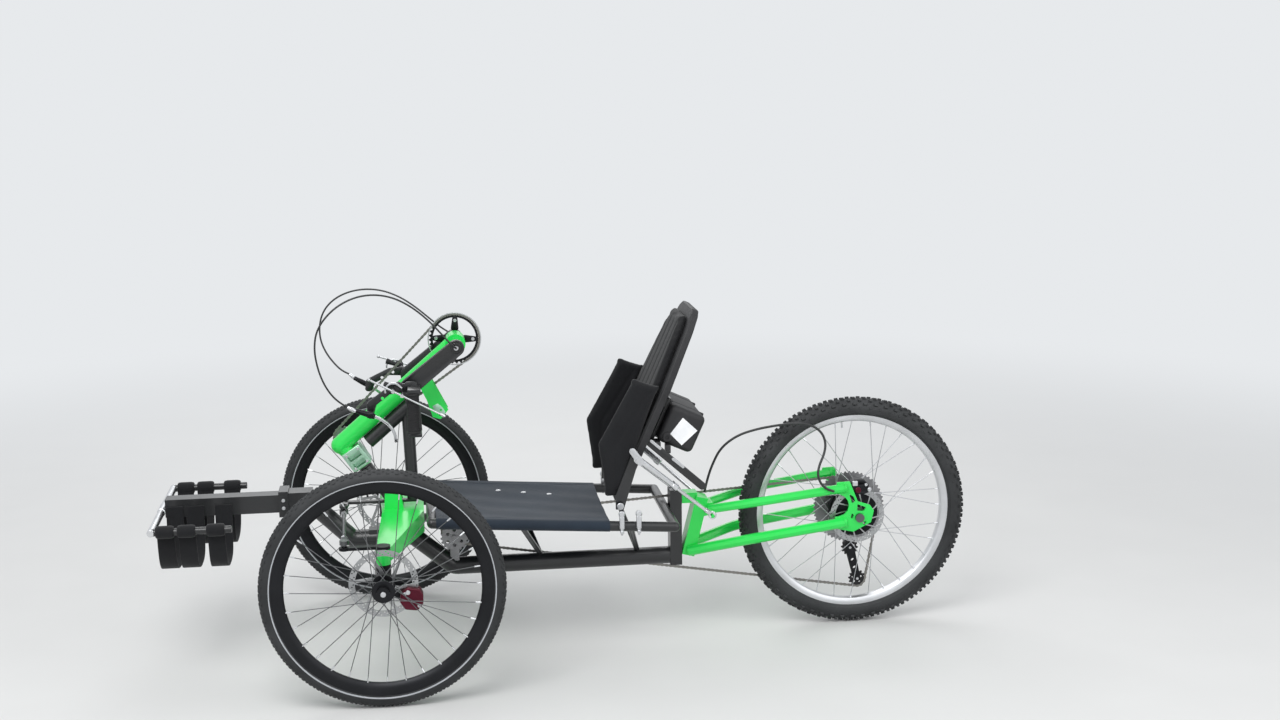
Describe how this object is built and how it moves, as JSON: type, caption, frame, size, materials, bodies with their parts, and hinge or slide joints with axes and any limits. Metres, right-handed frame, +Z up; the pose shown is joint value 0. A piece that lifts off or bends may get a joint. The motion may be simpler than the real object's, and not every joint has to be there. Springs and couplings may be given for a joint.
{
  "type": "electric handbike",
  "caption": "Three-wheeled hand-cranked cycle with two steered front wheels, a driven rear wheel, a reclined bucket seat, leg straps and a battery behind the seat.",
  "frame": {"origin": "on the ground under the middle of the whole handbike", "axes": "+X forward to the foot crossbar, +Y to the rider's left, +Z up"},
  "size_m": [2.313, 1.03, 1.0443],
  "materials": {
    "green_paint": "satin powder coat, neon green",
    "black_metal": "satin black anodising and powder coat",
    "tyre": "matt black rubber",
    "rubber": "matt black rubber",
    "navy_fabric": "woven navy nylon",
    "black_fabric": "black padded textile",
    "silver": "bare and polished aluminium",
    "steel": "brushed stainless steel",
    "chain_steel": "oiled steel",
    "maroon": "dark red anodising",
    "black_plastic": "matt black plastic"
  },
  "bodies": {
    "frame": {"main_frame": "black_metal", "head_tube": "black_metal", "front_beam": "green_paint", "seat_frame": "black_metal", "seat_sling": "navy_fabric", "rear_yoke": "green_paint", "rear_stays_left": "green_paint", "rear_stays_right": "green_paint", "rear_axle": "steel", "rear_caliper": "maroon", "derailleur": "black_metal", "jackshaft": "chain_steel", "main_chain": "chain_steel", "hub_cable": "rubber", "recline_brackets": "black_metal"},
    "leg_support": {"boom": "black_metal", "foot_rails": "silver", "leg_straps_left": "black_fabric", "leg_straps_right": "black_fabric"},
    "steering_mast": {"mast": "green_paint", "steering_head": "black_metal", "mast_post": "black_metal", "mast_idler": "chain_steel", "mast_chain": "chain_steel"},
    "crankset": {"crank_arm_left": "black_metal", "crank_arm_right": "black_metal", "chainring": "chain_steel", "handle_left": "black_metal", "handle_right": "black_metal", "grip_left": "rubber", "grip_right": "rubber", "brake_lever_left": "silver", "brake_lever_right": "silver", "brake_hose_left": "rubber", "brake_hose_right": "rubber"},
    "knuckle_left": {"knuckle_left": "silver", "brake_caliper_left": "maroon"},
    "knuckle_right": {"knuckle_right": "silver", "brake_caliper_right": "maroon"},
    "tie_rod_left": {"tie_rod_left": "silver"},
    "tie_rod_right": {"tie_rod_right": "silver"},
    "front_wheel_left": {"front_tyre_left": "tyre", "front_wheel_left": "black_metal", "front_rotor_left": "steel"},
    "front_wheel_right": {"front_tyre_right": "tyre", "front_wheel_right": "black_metal", "front_rotor_right": "steel"},
    "rear_wheel": {"rear_tyre": "tyre", "rear_wheel": "silver", "rear_rotor": "steel", "cassette": "chain_steel"},
    "backrest": {"backrest_shell": "navy_fabric", "backrest_pad": "black_fabric", "backrest_ears": "black_metal", "battery": "black_plastic", "battery_tray": "black_metal"},
    "strut_tube_left": {"strut_tube_left": "steel"},
    "strut_tube_right": {"strut_tube_right": "steel"},
    "strut_rod_left": {"strut_rod_left": "steel"},
    "strut_rod_right": {"strut_rod_right": "steel"}
  },
  "joints": [
    {"name": "steering", "type": "hinge", "parent": "frame", "child": "steering_mast", "pos_m": [0.5265, 0, 0.44], "axis": [0.5592, 0, 0.829], "range_deg": [-20, 20]},
    {"name": "cranks", "type": "hinge", "parent": "steering_mast", "child": "crankset", "pos_m": [0.3235, 0, 0.876], "axis": [0, 1, 0], "continuous": true},
    {"name": "knuckle_left", "type": "hinge", "parent": "frame", "child": "knuckle_left", "pos_m": [0.5385, 0.35, 0.318], "axis": [0, 0, 1], "range_deg": [-23.6, 23.6]},
    {"name": "tie_rod_left", "type": "hinge", "parent": "steering_mast", "child": "tie_rod_left", "pos_m": [0.6485, 0.042, 0.413], "axis": [0.5592, 0, 0.829], "range_deg": [-23, 23]},
    {"name": "front_wheel_left", "type": "hinge", "parent": "knuckle_left", "child": "front_wheel_left", "pos_m": [0.5385, 0.465, 0.318], "axis": [0, 1, 0], "continuous": true},
    {"name": "knuckle_right", "type": "hinge", "parent": "frame", "child": "knuckle_right", "pos_m": [0.5385, -0.35, 0.318], "axis": [0, 0, 1], "range_deg": [-23.6, 23.6]},
    {"name": "tie_rod_right", "type": "hinge", "parent": "steering_mast", "child": "tie_rod_right", "pos_m": [0.6485, -0.042, 0.413], "axis": [0.5592, 0, 0.829], "range_deg": [-23, 23]},
    {"name": "front_wheel_right", "type": "hinge", "parent": "knuckle_right", "child": "front_wheel_right", "pos_m": [0.5385, -0.465, 0.318], "axis": [0, 1, 0], "continuous": true},
    {"name": "rear_wheel", "type": "hinge", "parent": "frame", "child": "rear_wheel", "pos_m": [-0.8185, 0, 0.338], "axis": [0, 1, 0], "continuous": true},
    {"name": "foot_slide", "type": "slide", "parent": "frame", "child": "leg_support", "axis": [1, 0, 0], "range_m": [0, 0.03]},
    {"name": "recline", "type": "hinge", "parent": "frame", "child": "backrest", "pos_m": [-0.1125, 0, 0.432], "axis": [0, 1, 0], "range_deg": [-10, 10]},
    {"name": "strut_pin_left", "type": "hinge", "parent": "backrest", "child": "strut_tube_left", "pos_m": [-0.1615, 0.202, 0.566], "axis": [0, 1, 0], "range_deg": [-9, 9]},
    {"name": "strut_slide_left", "type": "slide", "parent": "strut_tube_left", "child": "strut_rod_left", "axis": [-0.7092, -0.3278, -0.6241], "range_m": [-0.0262, 0.0262]},
    {"name": "strut_pin_right", "type": "hinge", "parent": "backrest", "child": "strut_tube_right", "pos_m": [-0.1615, -0.202, 0.566], "axis": [0, 1, 0], "range_deg": [-9, 9]},
    {"name": "strut_slide_right", "type": "slide", "parent": "strut_tube_right", "child": "strut_rod_right", "axis": [-0.7092, 0.3278, -0.6241], "range_m": [-0.0262, 0.0262]}
  ],
  "couplings": [
    {"joint": "knuckle_left", "follows": "steering", "ratio": 1.17},
    {"joint": "tie_rod_left", "follows": "steering", "ratio": -1.14},
    {"joint": "strut_pin_left", "follows": "recline", "ratio": -0.829},
    {"joint": "strut_slide_left", "follows": "recline", "m_per_rad": 0.1405},
    {"joint": "knuckle_right", "follows": "steering", "ratio": 1.17},
    {"joint": "tie_rod_right", "follows": "steering", "ratio": -1.14},
    {"joint": "strut_pin_right", "follows": "recline", "ratio": -0.829},
    {"joint": "strut_slide_right", "follows": "recline", "m_per_rad": 0.1405}
  ]
}
